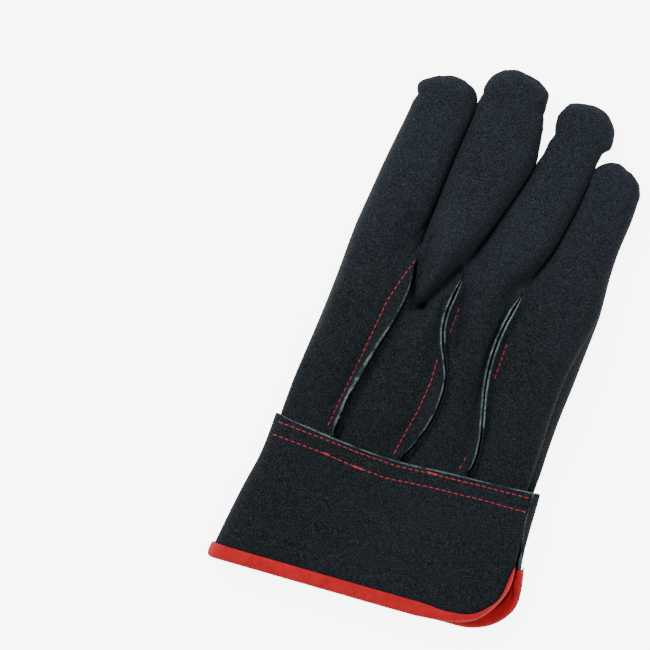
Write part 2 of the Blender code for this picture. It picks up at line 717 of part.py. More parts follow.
def make_binding(collection):
    """Tape folded over the cuff's lower edge, down one side of the slit and up the other."""
    rows = cuff_rows()
    edge, above = rows[-1], rows[-2]
    outside = BINDING_GAP
    inside = -LEATHER - 2 * BINDING_GAP
    profile = (
        (BINDING_WIDTH, outside),
        (BINDING_WIDTH / 2, outside),
        (0.0, outside),
        (-BINDING_GAP - LEATHER / 4, mix(outside, inside, 0.25)),
        (-BINDING_GAP - LEATHER / 4, mix(outside, inside, 0.75)),
        (0.0, inside),
        (BINDING_WIDTH / 2, inside),
        (BINDING_WIDTH, inside),
    )
    surface = bmesh.new()
    grid_faces(surface, rows)
    bmesh.ops.recalc_face_normals(surface, faces=surface.faces)
    leather = BVHTree.FromBMesh(surface)
    sections = []
    for k, point in enumerate(edge):
        low = max(0, k - 1)
        high = min(len(edge) - 1, k + 1)
        run = (edge[high] - edge[low]).normalized()
        out = (above[k] - point).cross(above[high] - above[low]).normalized()
        inward = run.cross(out).normalized()
        section = []
        for depth, side in profile:
            place = point + inward * depth
            if depth > 0.0:
                place, out_here = leather.find_nearest(place)[:2]
                out_here = out_here if out_here.dot(out) > 0 else -out_here
                section.append(place + out_here * side)
            else:
                section.append(place + out * side)
        sections.append(section)
    surface.free()
    bm = bmesh.new()
    grid_faces(bm, sections, flip=True)
    return make_leather("binding", bm, collection, BINDING, BINDING_TAPE, inwards=False)


def stand_on_origin(collection):
    """Put the middle of the glove's lowest face at the origin, with one parent for all pieces."""
    lows, highs = [], []
    graph = bpy.context.evaluated_depsgraph_get()
    for piece in collection.objects:
        corners = np.array([piece.matrix_world @ v.co for v in piece.evaluated_get(graph).data.vertices])
        lows.append(corners.min(axis=0))
        highs.append(corners.max(axis=0))
    low = np.min(lows, axis=0)
    high = np.max(highs, axis=0)
    holder = bpy.data.objects.new("glove_origin", None)
    collection.objects.link(holder)
    holder.location = (-(low[0] + high[0]) / 2, -(low[1] + high[1]) / 2, -low[2])
    for piece in list(collection.objects):
        if piece is not holder:
            piece.parent = holder
    bpy.context.view_layer.update()


def main():
    for item in list(bpy.data.objects):
        bpy.data.objects.remove(item)
    collection = bpy.data.collections.new("leather_work_glove")
    bpy.context.scene.collection.children.link(collection)
    make_palm(collection)
    for name in NAMES:
        make_back(name, collection)
    make_thumb(collection)
    make_cuff(collection)
    make_binding(collection)
    stand_on_origin(collection)


main()
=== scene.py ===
"""Looks of the suede work glove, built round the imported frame.

Each leather node of the frame is copied, merged, smoothed and given its folds, nap and cut edges.
The binding gets its woven tape and the seams get their stitches, one by one.
"""

import math
from collections import namedtuple

import bmesh
import bpy
import numpy as np
from mathutils import Matrix, Vector, noise
from mathutils.bvhtree import BVHTree
from mathutils.kdtree import KDTree


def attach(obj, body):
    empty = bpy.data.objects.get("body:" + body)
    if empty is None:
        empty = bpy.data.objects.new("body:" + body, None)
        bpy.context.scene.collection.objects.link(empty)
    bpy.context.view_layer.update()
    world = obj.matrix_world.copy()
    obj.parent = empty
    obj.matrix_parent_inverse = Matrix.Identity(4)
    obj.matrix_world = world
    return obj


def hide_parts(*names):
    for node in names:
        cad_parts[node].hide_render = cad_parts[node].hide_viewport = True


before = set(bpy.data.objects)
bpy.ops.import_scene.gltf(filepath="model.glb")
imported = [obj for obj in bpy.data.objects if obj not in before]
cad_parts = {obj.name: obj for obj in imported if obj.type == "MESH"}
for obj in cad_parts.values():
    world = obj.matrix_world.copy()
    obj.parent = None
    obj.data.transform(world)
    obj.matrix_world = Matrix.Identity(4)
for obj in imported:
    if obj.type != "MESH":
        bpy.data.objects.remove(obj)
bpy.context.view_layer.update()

MM = 0.001
LEATHER = 1.4 * MM

# Stitch rows, as the places in millimetres that they pass through on the glove's back
INDEX_SEAM_ROW = ((-17.7, 31.5), (-22.2, 19.5), (-25.2, 9.5), (-27.2, -3.5), (-29.2, -16.5),
                  (-32.2, -33.5), (-34.2, -46.5), (-35.2, -51.5))
MIDDLE_SEAM_ROW_TOP = ((6.8, 16.5), (5.8, 3.5))
MIDDLE_SEAM_ROW = ((3.8, -8.5), (3.8, -18.5), (1.8, -33.5), (-1.2, -46.5), (-3.2, -55.5))
RING_SEAM_ROW_TOP = ((31.8, 6.5), (30.8, -10.5))
RING_SEAM_ROW = ((28.8, -46.5), (26.8, -54.5))
CUFF_ROW_TOP = ((-57.2, -55.5), (-38.2, -57.0), (-18.2, -59.0), (-0.2, -60.0), (16.8, -59.0),
                (41.8, -58.0), (61.0, -57.5))
CUFF_ROW_LOW = ((-58.2, -61.5), (-33.2, -63.5), (-18.2, -65.5), (-3.2, -66.5), (16.8, -65.0),
                (41.8, -64.0), (61.5, -64.0))
# The cuff's top edge on the back: place across and place along, in millimetres
CUFF_EDGE = ((-58.2, -52.2), (-38.2, -55.0), (-18.2, -57.3), (-0.2, -58.6), (16.8, -57.0),
             (43.8, -56.0), (61.8, -55.0))
# The front layer's corner at the slit, round its middle: the angle in degrees, then where the
# binding's inner and outer edges lie before and after the curl, as reaches in millimetres
CORNER_MIDDLE = (35.0, -90.0)
CUFF_CORNER = (
    (-112.0, 26.1, 32.3, 26.1, 32.3),
    (-98.0, 26.1, 32.3, 26.4, 32.0),
    (-76.0, 25.0, 31.9, 27.0, 31.6),
    (-55.0, 23.5, 30.5, 29.2, 32.4),
    (-35.0, 22.4, 29.3, 29.6, 31.4),
    (-18.0, 22.5, 28.5, 29.0, 30.6),
    (0.0, 22.7, 28.1, 28.3, 28.9),
    (8.0, 23.2, 28.1, 28.2, 28.6),
    (22.0, 25.0, 30.0, 27.2, 31.0),
    (40.0, 30.0, 36.0, 30.0, 36.0),
)
# The curl takes the leather above this height, from this far inside the binding, and lowers the
# binding's inner edge by the first depth and its outer edge by the second
CURL_ABOVE = 8.5 * MM
CURL_WIDTH = 14 * MM
CURL_DEPTHS = (1.2 * MM, 3.8 * MM)
# Where the sewing was started or ended on the cuff, as places in millimetres
BACK_TACKS = ((14.8, -58.9), (17.2, -58.9), (-32.2, -63.6), (-18.2, -65.5), (-15.6, -65.7))

STITCH_PITCH = 2.8 * MM
STITCH_LENGTH = 2.5 * MM
THREAD_WIDTH = 0.5 * MM
# How far a stitch's middle stands out of the leather, as a share of the thread, and how much that
# changes along a seam, because the nap swallows some stitches
STITCH_RISE = 0.12
STITCH_RISE_CHANGE = 0.35
STITCH_RISE_WAVE = 11 * MM

# Pattern sizes in millimetres. Single nap fibres are about 0.05 mm thick and the tape's yarn about
# 0.3 mm. Both are too fine to show in the render, so they are drawn as coarse as is given here
NAP_FIBRES = 0.6
NAP_TUFTS = 2.4
DYE_PATCHES = 30.0
CUT_FIBRES = 0.8
SOILED_STRETCHES = 7.0
TAPE_WEAR = 5.0
YARN_PITCH = 0.6
THREAD_STRANDS = 0.6
# The wave pattern's period in metres at a scale of 1
WAVE_PERIOD = 0.314
# The stretch along the hand over which the nap is painted greyer, as painted light that falls more
# on the fingers
NAP_LIT_FROM = -10 * MM
NAP_LIT_TO = 75 * MM

# The share of the palm piece's triangles that is kept
PALM_THINNING = 0.76
# Two corners of a node's loose triangles that lie closer than this are one
MERGE_DISTANCE = 0.02 * MM
# Places of the suede and of its cut edge in a leather piece's list of materials
NAP_FACE = 0
CUT_FACE = 1

# The hand's three back seams, from the cuff's edge up to the crotches, in millimetres
SEAM_PLACES = (-56.5, -46.8, -33.6, -18.7, -3.7, 10.4, 21.8, 31.5, 45.0)
INDEX_SEAM = (-32.4, -32.2, -30.3, -27.3, -23.9, -20.6, -18.3, -17.4, -17.1)
MIDDLE_SEAM = (0.2, 2.7, 6.8, 7.8, 3.9, 2.1, 3.8, 4.4, 8.5)
RING_SEAM = (30.8, 31.4, 30.3, 28.8, 28.1, 29.1, 31.1, 33.0, 37.9)
CUFF_LINE = -56.5 * MM
CROTCH_LINE = 31.5 * MM
# How far to each side of a seam's line its raw edges lie
SEAM_REACH = 7 * MM
# Palm and index back are joined up to here, and not round the fingertip
INDEX_TIP_START = 104.0 * MM
# The steps in which a fingertip's outline and a finger's side are measured
TIP_SECTORS = 72
BORDER_STEP = 1.2 * MM
# How far round its middle, and how far below it, a fingertip is reshaped
TIP_REACH = 24 * MM
TIP_BELOW = 9 * MM
# The angle over which that fades out at the outline's ends, and the share of the way from the
# middle at which it is full
TIP_END_FADE = 0.35
TIP_FULL_SHARE = 0.9

# A cut edge's triangles: how sharply they meet the leather's faces, how flat they lie to each
# other, and their reach from that corner and their height as shares of the leather's thickness
CUT_CORNER = math.radians(48)
CUT_FLATNESS = math.radians(40)
CUT_REACH = (0.7, 1.2)
CUT_HEIGHT = (0.6, 1.25)
# How square a pair of triangles has to be to be joined into one face
JOINED_SHAPE = math.radians(60)
# How crisp the border of a raw edge is, and of one that is turned in
RAW_CRISPNESS = 0.6
TURNED_CRISPNESS = 0.8
# How far the painted shade laps over a raw edge from either side, and how far the cuff's cut edge
# slopes
RIM_SHADE_REACH = 0.2 * MM
CUFF_SLOPE = 0.5 * MM
# How high over the ground the cuff's top edge counts as on the back of the hand
CUFF_BACK_FROM = 9 * MM
# The fin of leather under a raw edge: how far it is moved to each side, and down its depth
FIN_SIDE = 4 * MM
FIN_DEPTH = 4.0 * MM
# How far a seam's leathers are drawn together at its ends, and over what length at each end
SEAM_DRAW = 0.65 * MM
CROTCH_FADE = 12 * MM
CUFF_FADE = 7 * MM
# How high over the ground the backs take folds
FOLDS_FROM = 7 * MM
# The palm's rim and the index back's rim above it: how far from the index seam they lie at least,
# and how far apart two facing corners are at most, at least in height and at most in plan
RIM_INSET = 8 * MM
RIM_APART = 0.75 * MM
RIM_RISE = 0.25 * MM
RIM_SHIFT = 0.35 * MM

# How a raw edge is pushed aside and up along its seam: place along, aside and up in millimetres,
# and its width as a share. The edge that lies under its neighbour is pushed down out of sight.
FIN_MOVES = {
    ("palm", 0): ((-56, 0.6, 0.6, 1.2), (-46, 0.6, 1.1, 1.3), (-20, 0.8, 1.1, 1.3),
                  (-6, 1.0, 0.6, 1.0), (4, 1.2, 0.2, 0.75), (24, 1.2, -0.4, 0.7)),
    ("middle_back", 0): ((-56, 1.0, -3.2, 0.8), (-10, 1.0, -3.2, 0.8), (30, 0.6, -2.6, 0.8)),
    ("middle_back", 1): ((-56, 1.0, 0.0, 0.75), (-14, 1.2, 0.0, 0.75), (0, 0.5, 0.0, 0.75),
                         (20, 0.4, -0.6, 0.75)),
    ("ring_back", 1): ((-56, 0.4, -2.4, 0.7), (-14, 0.6, -2.4, 0.7), (-1, 0.2, -0.3, 0.7),
                       (20, 0.0, -0.4, 0.7)),
    ("ring_back", 2): ((-56, 0.8, 0.2, 0.8), (-38, 0.7, 0.0, 0.8), (-30, 0.3, 0.0, 0.8),
                       (20, 0.2, 0.0, 0.8)),
    ("little_back", 2): ((-56, 0.4, -2.4, 0.8), (-38, 0.3, -2.2, 0.8), (-31, -0.1, 0.1, 0.8),
                         (20, -0.2, 0.2, 0.8)),
}

# Where each leather's edge along a seam is bare in sight, as places along, in millimetres
RAW_EDGES = {
    ("palm", 0): (-60, 31),
    ("middle_back", 1): (-60, 31), ("ring_back", 1): (-2, 31),
    ("ring_back", 2): (-60, 31), ("little_back", 2): (-33, 31),
}
# The four fingertips: place across and place along, in millimetres
FINGERTIPS = ((-29.0, 116.5), (4.0, 123.0), (38.0, 120.5), (59.0, 98.5))

# The outline round each fingertip in millimetres: its middle, then the points round it, from the
# index side over the tip to the little finger's side
TipOutline = namedtuple("TipOutline", "middle points")
TIP_OUTLINES = (
    TipOutline((-24.0, 102.0), (
        (-38.2, 98.7), (-37.2, 104.2), (-38.4, 106.4), (-38.6, 108.4), (-37.4, 110.4),
        (-34.0, 112.7), (-28.6, 115.2), (-23.3, 116.4), (-20.0, 116.2), (-16.4, 114.8),
        (-13.1, 113.1), (-11.6, 111.3), (-10.6, 109.2), (-10.8, 101.0))),
    TipOutline((5.5, 109.0), (
        (-10.8, 101.0), (-10.3, 107.6), (-9.4, 110.6), (-9.1, 112.9), (-9.3, 115.6),
        (-8.6, 118.2), (-7.0, 121.5), (-4.5, 124.0), (-1.0, 126.1), (2.7, 126.9), (6.9, 126.3),
        (12.1, 125.4), (15.8, 123.6), (18.9, 121.3), (19.9, 120.0), (20.1, 115.6),
        (20.0, 110.3), (21.4, 105.5), (22.3, 99.3))),
    TipOutline((40.0, 107.0), (
        (27.8, 100.1), (27.7, 103.3), (26.3, 109.3), (26.3, 112.1), (28.1, 115.9), (30.0, 118.9),
        (33.0, 119.9), (38.4, 120.7), (43.2, 120.6), (47.8, 118.7), (50.2, 116.2), (52.7, 112.9),
        (53.6, 107.5), (53.4, 103.4), (51.7, 99.7))),
    TipOutline((60.0, 86.0), (
        (48.2, 84.0), (48.2, 91.5), (49.9, 94.7), (51.7, 96.6), (55.3, 98.3), (59.2, 98.8),
        (62.8, 97.2), (67.6, 94.6), (70.6, 91.4), (71.4, 89.2), (72.2, 83.0))),
)
# The lines between neighbouring fingers near their tips: places along, then places across
TIP_BORDERS = (
    ((85.0, 92.0, 99.5, 109.0, 130.0), (-13.0, -12.0, -10.8, -10.3, -10.0)),
    ((80.0, 86.0, 90.0, 100.0, 130.0), (20.8, 22.9, 24.2, 24.8, 24.8)),
    ((70.0, 84.0, 90.0, 95.0, 99.7, 104.0), (45.3, 47.3, 47.6, 49.6, 52.2, 60.0)),
)
# How far up each pair of neighbouring fingers lies side by side, in millimetres
TOUCHING_TO = (107.0, 88.0, 90.0)

# Folds pressed into the backs: the piece, the fold's line, its width and its depth, in millimetres
FOLDS = (
    ("middle_back", ((-17.0, 25.0), (-15.0, 16.0), (-12.2, 10.5), (-9.0, 12.0)), 1.9, 3.8),
    ("middle_back", ((-9.0, 12.0), (-4.5, 22.0), (1.5, 33.0)), 2.2, 4.4),
    ("ring_back", ((6.5, 31.0), (10.0, 12.0), (11.5, 1.0)), 1.8, 2.2),
    ("ring_back", ((1.5, 30.0), (-1.0, 24.0)), 3.0, 2.6),
    ("ring_back", ((12.5, -2.0), (17.0, -9.0)), 4.0, 0.9),
    ("little_back", ((51.0, 84.0), (54.5, 91.5)), 2.2, 1.5),
    ("palm", ((-24.0, 49.0), (-18.5, 47.0)), 3.0, 1.6),
    ("palm", ((-40.0, 22.0), (-30.0, 30.0)), 5.0, 0.7),
)


def linear(hex_colour):
    """An sRGB hex colour as linear red, green, blue and alpha."""
    parts = [int(hex_colour[k:k + 2], 16) / 255 for k in (1, 3, 5)]
    turned = [p / 12.92 if p <= 0.04045 else ((p + 0.055) / 1.055) ** 2.4 for p in parts]
    return (*turned, 1.0)


def add_node(tree, kind, settings=None, **sockets):
    """A node with its settings, and its sockets set to a value or linked to another's output."""
    node = tree.nodes.new(kind)
    for name, value in (settings or {}).items():
        setattr(node, name, value)
    for name, value in sockets.items():
        key = int(name[1:]) if name[0] == "_" else name.replace("_", " ")
        if isinstance(value, bpy.types.NodeSocket):
            tree.links.new(value, node.inputs[key])
        else:
            node.inputs[key].default_value = value
    return node


def new_material(name):
    """A material, its node tree and its shader."""
    material = bpy.data.materials.new(name)
    material.use_nodes = True
    tree = material.node_tree
    return material, tree, tree.nodes["Principled BSDF"]


def two_colours(tree, factor, low, high, start, end):
    """A colour ramp between two hex colours, over a part of the pattern's range."""
    ramp = add_node(tree, "ShaderNodeValToRGB", Fac=factor)
    ramp.color_ramp.elements[0].position = start
    ramp.color_ramp.elements[0].color = linear(low)
    ramp.color_ramp.elements[1].position = end
    ramp.color_ramp.elements[1].color = linear(high)
    return ramp.outputs["Color"]


def pattern(tree, vector, size_mm, detail, roughness=0.6):
    """Noise whose lumps are about this size."""
    node = add_node(tree, "ShaderNodeTexNoise", Vector=vector, Scale=1000.0 / size_mm,
                    Detail=detail, Roughness=roughness)
    return node.outputs["Fac"]


def make_suede():
    """Black dyed cow split, buffed to a nap: matt, with grey fibre ends and blue-grey patches.

    The fibre ends are painted greyer towards the fingertips, as painted light that falls more on
    the fingers.
    """
    material, tree, shader = new_material("black_suede_split")
    place = add_node(tree, "ShaderNodeTexCoord").outputs["Object"]
    fibres = pattern(tree, place, NAP_FIBRES, 3.0, 0.75)
    tufts = pattern(tree, place, NAP_TUFTS, 3.0)
    patches = pattern(tree, place, DYE_PATCHES, 2.0)
    dye = two_colours(tree, patches, "#040607", "#090b10", 0.35, 0.65)
    nap = two_colours(tree, tufts, "#000000", "#080b0d", 0.38, 0.70)
    shaded_fibre_ends = two_colours(tree, fibres, "#000000", "#2a3236", 0.48, 0.74)
    lit_fibre_ends = two_colours(tree, fibres, "#040508", "#2f353d", 0.45, 0.76)
    # Painted light: the fibre ends turn lighter along the hand towards the fingertips, where more
    # light falls
    along = add_node(tree, "ShaderNodeSeparateXYZ", Vector=place).outputs["Y"]
    finger_light_share = add_node(tree, "ShaderNodeMapRange", {"interpolation_type": "SMOOTHSTEP"}, Value=along,
                    From_Min=NAP_LIT_FROM, From_Max=NAP_LIT_TO)
    finger_light_share = finger_light_share.outputs["Result"]
    ends = add_node(tree, "ShaderNodeMix", {"data_type": "RGBA"}, _0=finger_light_share, _6=shaded_fibre_ends,
                    _7=lit_fibre_ends).outputs[2]
    napped = add_node(tree, "ShaderNodeMix", {"data_type": "RGBA", "blend_type": "ADD"},
                      _0=1.0, _6=dye, _7=nap).outputs[2]
    tipped = add_node(tree, "ShaderNodeMix", {"data_type": "RGBA", "blend_type": "ADD"},
                      _0=1.0, _6=napped, _7=ends).outputs[2]
    tree.links.new(tipped, shader.inputs["Base Color"])
    shader.inputs["Roughness"].default_value = 0.95
    shader.inputs["Specular IOR Level"].default_value = 0.12
    shader.inputs["Sheen Weight"].default_value = 0.03
    shader.inputs["Sheen Roughness"].default_value = 0.5
    shader.inputs["Sheen Tint"].default_value = linear("#aab4bd")
    coarse = add_node(tree, "ShaderNodeBump", Height=tufts, Strength=0.5, Distance=0.35 * MM)
    fine = add_node(tree, "ShaderNodeBump", Height=fibres, Strength=0.7, Distance=0.25 * MM,
                    Normal=coarse.outputs["Normal"])
    tree.links.new(fine.outputs["Normal"], shader.inputs["Normal"])
    return material


def make_cut_edge():
    """Knife-cut edge of the same split: its chrome-tanned core shows pale, or soiled in places."""
    material, tree, shader = new_material("cut_leather_edge")
    place = add_node(tree, "ShaderNodeTexCoord").outputs["Object"]
    fibres = pattern(tree, place, CUT_FIBRES, 4.0, 0.7)
    pale = two_colours(tree, fibres, "#2b3739", "#647578", 0.34, 0.66)
    soiled = pattern(tree, place, SOILED_STRETCHES, 3.0)
    cover = add_node(tree, "ShaderNodeMapRange", Value=soiled, From_Min=0.42, From_Max=0.62)
    colour = add_node(tree, "ShaderNodeMix", {"data_type": "RGBA"}, _0=cover.outputs["Result"],
                      _6=pale, _7=linear("#1c2325")).outputs[2]
    tree.links.new(colour, shader.inputs["Base Color"])
    shader.inputs["Roughness"].default_value = 0.9
    shader.inputs["Specular IOR Level"].default_value = 0.2
    bump = add_node(tree, "ShaderNodeBump", Height=fibres, Strength=0.6, Distance=0.2 * MM)
    tree.links.new(bump.outputs["Normal"], shader.inputs["Normal"])
    return material


def make_binding_tape():
    """Plain woven cotton binding tape, dyed red: matt, with a fine weave."""
    material, tree, shader = new_material("woven_red_tape")
    place = add_node(tree, "ShaderNodeTexCoord").outputs["Object"]
    wear = pattern(tree, place, TAPE_WEAR, 3.0)
    warp = add_node(tree, "ShaderNodeTexWave", {"bands_direction": "X"}, Vector=place,
                    Scale=WAVE_PERIOD / (YARN_PITCH * MM), Distortion=0.6).outputs["Fac"]
    weft = add_node(tree, "ShaderNodeTexWave", {"bands_direction": "Y"}, Vector=place,
                    Scale=WAVE_PERIOD / (YARN_PITCH * MM), Distortion=0.6).outputs["Fac"]
    weave = add_node(tree, "ShaderNodeMath", {"operation": "MULTIPLY"}, _0=warp, _1=weft)
    weave = weave.outputs["Value"]
    colour = two_colours(tree, wear, "#92020b", "#ae0410", 0.3, 0.7)
    tree.links.new(colour, shader.inputs["Base Color"])
    shader.inputs["Roughness"].default_value = 0.75
    shader.inputs["Specular IOR Level"].default_value = 0.25
    bump = add_node(tree, "ShaderNodeBump", Height=weave, Strength=0.6, Distance=0.2 * MM)
    tree.links.new(bump.outputs["Normal"], shader.inputs["Normal"])
    return material


def make_thread():
    """Spun polyester sewing thread, dyed red: a soft shine on each stitch."""
    material, tree, shader = new_material("red_sewing_thread")
    place = add_node(tree, "ShaderNodeTexCoord").outputs["Object"]
    strands = pattern(tree, place, THREAD_STRANDS, 2.0)
    colour = two_colours(tree, strands, "#7a0615", "#aa0c24", 0.3, 0.7)
    tree.links.new(colour, shader.inputs["Base Color"])
    shader.inputs["Roughness"].default_value = 0.55
    return material


SUEDE = make_suede()
CUT_EDGE = make_cut_edge()
TAPE = make_binding_tape()
THREAD = make_thread()


def smoothstep(value):
    """A soft step from 0 to 1, level at both ends."""
    value = min(1.0, max(0.0, value))
    return value * value * (3.0 - 2.0 * value)


def seam_x(seam, y):
    """Place across of a back seam at a place along."""
    return float(np.interp(y / MM, SEAM_PLACES, (INDEX_SEAM, MIDDLE_SEAM, RING_SEAM)[seam])) * MM


def ripple(x, y):
    """Unevenness of broken-in suede, in metres: slow waves of 24 mm with quicker ones of 9 mm."""
    slow = noise.noise(Vector((x, y, 0.0)) / (24 * MM))
    quick = noise.noise(Vector((x + 0.3, y, 0.2)) / (9 * MM))
    return 0.6 * MM * slow + 0.25 * MM * quick


def distance_to(points, x, y):
    """Distance in plan from a point to a line of points."""
    best = math.inf
    for start, end in zip(points, points[1:]):
        start, end = Vector(start) * MM, Vector(end) * MM
        line = end - start
        share = min(1.0, max(0.0, (Vector((x, y)) - start).dot(line) / line.length_squared))
        best = min(best, (start + line * share - Vector((x, y))).length)
    return best


def find_cut_faces(bm):
    """Triangles across the leather's thickness: a sharp edge with the far corner a wall away."""
    found = set()
    for edge in bm.edges:
        if len(edge.link_faces) != 2 or edge.calc_face_angle() < CUT_CORNER:
            continue
        start, end = (v.co for v in edge.verts)
        run = (end - start).normalized()
        for face in edge.link_faces:
            far = next(v.co for v in face.verts if v not in edge.verts)
            reach = far - start
            away = (reach - run * reach.dot(run)).length
            if CUT_REACH[0] * LEATHER < away < CUT_REACH[1] * LEATHER:
                found.add(face)
    for face in list(found):
        for edge in face.edges:
            for other in edge.link_faces:
                height = 2 * other.calc_area() / max(side.calc_length() for side in other.edges)
                across = CUT_HEIGHT[0] * LEATHER < height < CUT_HEIGHT[1] * LEATHER
                if across and other.normal.angle(face.normal, 0.0) < CUT_FLATNESS:
                    found.add(other)
    return found


def at_back_seam(middle):
    """The back seam that a cut face lies on, or None."""
    for seam in range(3):
        near = abs(middle.x - seam_x(seam, middle.y)) < SEAM_REACH
        if near and middle.y < CROTCH_LINE - 1 * MM:
            return seam
    return None


def shows_raw(node, middle):
    """True where a cut edge is left raw in sight: on the back seams and round the cuff."""
    if node == "cuff":
        return True
    low, high = RAW_EDGES.get((node, at_back_seam(middle)), (0, 0))
    return low * MM < middle.y < high * MM


def sharpness(middle, raw):
    """How crisp a cut edge's border is: soft round the fingertips, where it is turned in."""
    if raw:
        return RAW_CRISPNESS
    tip = min(FINGERTIPS, key=lambda place: abs(place[0] * MM - middle.x))
    return TURNED_CRISPNESS * smoothstep((tip[1] * MM - 8 * MM - middle.y) / (12 * MM))


def mark_cut_edges(bm, node):
    """Give the raw edges in sight their material and crisp borders, and say where they lie."""
    creases = bm.edges.layers.float.new("crease_edge")
    cut = find_cut_faces(bm)
    middles = [face.calc_center_median() for face in cut]
    middles = [middle for middle in middles if at_back_seam(middle) is not None]
    raw = {face for face in cut if shows_raw(node, face.calc_center_median())}
    for face in bm.faces:
        face.smooth = True
        face.material_index = CUT_FACE if face in raw else NAP_FACE
    for edge in bm.edges:
        sides = [face for face in edge.link_faces if face in cut]
        if len(sides) == 1:
            edge[creases] = sharpness(sides[0].calc_center_median(), sides[0] in raw)
    for group in (cut, set(bm.faces) - cut):
        bmesh.ops.join_triangles(bm, faces=[face for face in group if face.is_valid],
                                 cmp_materials=True, angle_face_threshold=CUT_FLATNESS,
                                 angle_shape_threshold=JOINED_SHAPE)
    return middles


def slope_cuff_edge(bm):
    """Let the lower side of the cuff's top edge stand out, so that its cut shows from above."""
    inner = set()
    for face in bm.faces:
        middle = face.calc_center_median()
        on_back = middle.z > CUFF_BACK_FROM and abs(middle.y - CUFF_LINE) < 2 * MM
        if face.material_index == CUT_FACE and on_back:
            inner |= {vert for vert in face.verts if vert.co.z < middle.z}
    for vert in inner:
        vert.co.y += CUFF_SLOPE


def narrow_raw_edges(bm):
    """Paint the two rims of each raw edge dark with the suede, as painted shade on its sides, so
    that only its middle shows pale.
    """
    raw = [face for face in bm.faces if face.material_index == CUT_FACE]
    if raw:
        # Painted shade: the rims take the dark suede, as the shaded sides of a rounded edge would
        # look
        rims = bmesh.ops.inset_region(bm, faces=raw, thickness=RIM_SHADE_REACH, use_even_offset=True)
        for face in rims["faces"]:
            face.material_index = NAP_FACE
            face.smooth = True


def raw_line(middles, seam):
    """Where a seam's raw edge runs on one piece, evened out, as places along, across and up."""
    near = [m for m in middles if abs(m.x - seam_x(seam, m.y)) < SEAM_REACH]
    near.sort(key=lambda m: (m.y, m.x, m.z))
    across, up = ([np.mean([m[axis] for m in near if abs(m.y - here.y) < 4 * MM])
                   for here in near] for axis in (0, 2))
    return [m.y for m in near], across, up


def set_fins(piece, node, middles):
    """Push each raw seam edge of a piece as its table says, fading out down its fin."""
    for (owner, seam), moves in FIN_MOVES.items():
        if owner != node:
            continue
        along, across, up = raw_line(middles, seam)
        places = [row[0] * MM for row in moves]
        for vert in piece.data.vertices:
            y = vert.co.y
            if not CUFF_LINE - 4 * MM < y < CROTCH_LINE + 12 * MM:
                continue
            side = vert.co.x - np.interp(y, along, across)
            height = vert.co.z - np.interp(y, along, up)
            if abs(side) > FIN_SIDE or height < -FIN_DEPTH:
                continue
            share = smoothstep(1.0 + height / FIN_DEPTH)
            share *= smoothstep(2.0 - abs(side) / (FIN_SIDE / 2))
            wider = np.interp(y, places, [row[3] for row in moves]) - 1.0
            vert.co.x += share * side * wider * smoothstep(2.0 - abs(side) / MM)
            vert.co.x += share * np.interp(y, places, [row[1] for row in moves]) * MM
            vert.co.z += share * np.interp(y, places, [row[2] for row in moves]) * MM


def close_seam_ends(piece):
    """Draw a seam's two leathers together where their raw edges end, at the cuff and crotch."""
    for vert in piece.data.vertices:
        y = vert.co.y
        crotch = smoothstep(1.0 - abs(y - CROTCH_LINE - 1 * MM) / CROTCH_FADE)
        cuff_end = smoothstep(1.0 - abs(y - CUFF_LINE - 1 * MM) / CUFF_FADE)
        for seam in range(3):
            side = seam_x(seam, y) - vert.co.x
            if abs(side) < SEAM_REACH:
                near = smoothstep(1.0 - (abs(side) - 1 * MM) / (5 * MM))
                vert.co.x += math.copysign(SEAM_DRAW, side) * near * max(crotch, cuff_end)


def bearing(place, middle):
    """Angle round a fingertip's middle, clockwise from straight down towards the cuff."""
    return math.atan2(-(place[0] - middle[0]), -(place[1] - middle[1])) % (2 * math.pi)


def edge_line(piece, side):
    """Places along and across of a back's outermost points along the fingers, on one side."""
    reach = {}
    on_back = piece.data.attributes["on_back"].data
    for vert in piece.data.vertices:
        x, y = vert.co.xy
        if y < CROTCH_LINE - 4 * MM or on_back[vert.index].value < 0.5:
            continue
        step = int(y / BORDER_STEP)
        if step not in reach or side * x > side * reach[step][1]:
            reach[step] = (y, x)
    return tuple(zip(*sorted(reach.values())))


def close_fingers(pieces):
    """Let neighbouring fingers lie against each other, as soft leather does."""
    borders = []
    for number, touching in enumerate(TOUCHING_TO):
        right_line = edge_line(pieces[number + 1], -1)
        left_line = edge_line(pieces[number], 1)
        top = touching * MM
        places = np.arange(CROTCH_LINE, top, 1 * MM)
        middles = (np.interp(places, *left_line) + np.interp(places, *right_line)) / 2
        above = [(y * MM, x * MM) for y, x in zip(*TIP_BORDERS[number]) if y > touching]
        borders.append(([*places, *(y for y, x in above)], [*middles, *(x for y, x in above)]))
        for piece in {pieces[0], pieces[number], pieces[number + 1]}:
            for vert in piece.data.vertices:
                x, y = vert.co.xy
                if not CROTCH_LINE - 2 * MM < y < top + 6 * MM:
                    continue
                low, high = np.interp(y, *left_line), np.interp(y, *right_line)
                half = (high - low) / 2
                away = x - (low + high) / 2
                if abs(away) > 5 * MM or half < 0:
                    continue
                share = smoothstep(1.0 - (abs(away) - half) / (4 * MM))
                share *= smoothstep((top + 6 * MM - y) / (6 * MM))
                vert.co.x -= math.copysign(half * share, away)
    return borders


def on_finger(borders, number, x, y):
    """True where a place near the fingertips belongs to this finger."""
    after = number == 0 or x > np.interp(y, *borders[number - 1])
    return after and (number == 3 or x < np.interp(y, *borders[number]))


